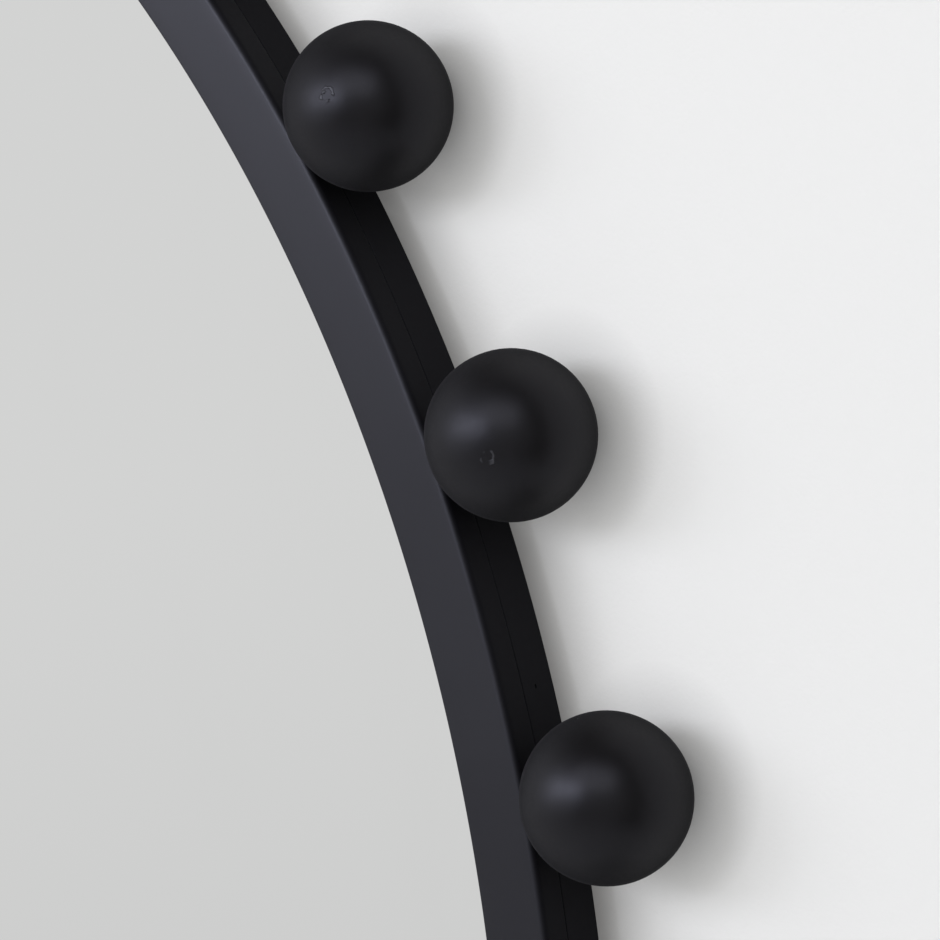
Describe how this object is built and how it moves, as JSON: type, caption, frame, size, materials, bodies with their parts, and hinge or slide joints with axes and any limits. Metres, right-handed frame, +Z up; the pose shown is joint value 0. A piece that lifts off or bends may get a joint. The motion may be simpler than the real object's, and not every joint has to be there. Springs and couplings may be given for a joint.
{
  "type": "round wall mirror",
  "caption": "Round wall mirror in a flat black ring frame edged all round with black balls, with rubber bumpers and swinging D-rings at the back.",
  "frame": {"origin": "middle of the mirror on the wall surface, where the bumpers meet the wall", "axes": "+Y into the wall, so the glass faces -Y; +X to the viewer's right; +Z up"},
  "size_m": [0.9136, 0.0405, 0.9136],
  "materials": {
    "black_ring": "satin black paint on fibreboard",
    "black_ball": "satin black paint on turned wood",
    "silvered_glass": "polished, silvered at the back",
    "foam_tape": "matt foam",
    "card": "raw card",
    "hardboard": "raw hardboard",
    "dowel_steel": "plain steel pin",
    "zinc_screw": "zinc plated",
    "zinc_hanger": "zinc plated",
    "bumper_rubber": "matt moulded"
  },
  "bodies": {
    "mirror": {"front_ring": "black_ring", "back_ring": "black_ring", "ball_01": "black_ball", "ball_02": "black_ball", "ball_03": "black_ball", "ball_04": "black_ball", "ball_05": "black_ball", "ball_06": "black_ball", "ball_07": "black_ball", "ball_08": "black_ball", "ball_09": "black_ball", "ball_10": "black_ball", "ball_11": "black_ball", "ball_12": "black_ball", "ball_13": "black_ball", "ball_14": "black_ball", "ball_15": "black_ball", "ball_16": "black_ball", "ball_17": "black_ball", "ball_18": "black_ball", "ball_19": "black_ball", "ball_20": "black_ball", "ball_21": "black_ball", "ball_22": "black_ball", "ball_23": "black_ball", "ball_24": "black_ball", "ball_25": "black_ball", "ball_26": "black_ball", "ball_27": "black_ball", "ball_28": "black_ball", "ball_29": "black_ball", "ball_30": "black_ball", "ball_31": "black_ball", "ball_32": "black_ball", "mirror_glass": "silvered_glass", "glazing_tape": "foam_tape", "packing_sheet": "card", "backing_board": "hardboard", "ball_dowels": "dowel_steel", "ring_screws": "zinc_screw", "board_screws": "zinc_screw", "hanger_screws": "zinc_screw", "hanger_strap_left": "zinc_hanger", "hanger_strap_right": "zinc_hanger", "bumper_1": "bumper_rubber", "bumper_2": "bumper_rubber", "bumper_3": "bumper_rubber", "bumper_4": "bumper_rubber"},
    "ring_left": {"d_ring_left": "zinc_hanger"},
    "ring_right": {"d_ring_right": "zinc_hanger"}
  },
  "joints": [
    {"name": "ring_swing_left", "type": "hinge", "parent": "mirror", "child": "ring_left", "pos_m": [-0.33775, -0.00442, 0.214], "axis": [1, 0, 0], "range_deg": [0, 180]},
    {"name": "ring_swing_right", "type": "hinge", "parent": "mirror", "child": "ring_right", "pos_m": [0.33775, -0.00442, 0.214], "axis": [1, 0, 0], "range_deg": [0, 180]}
  ]
}
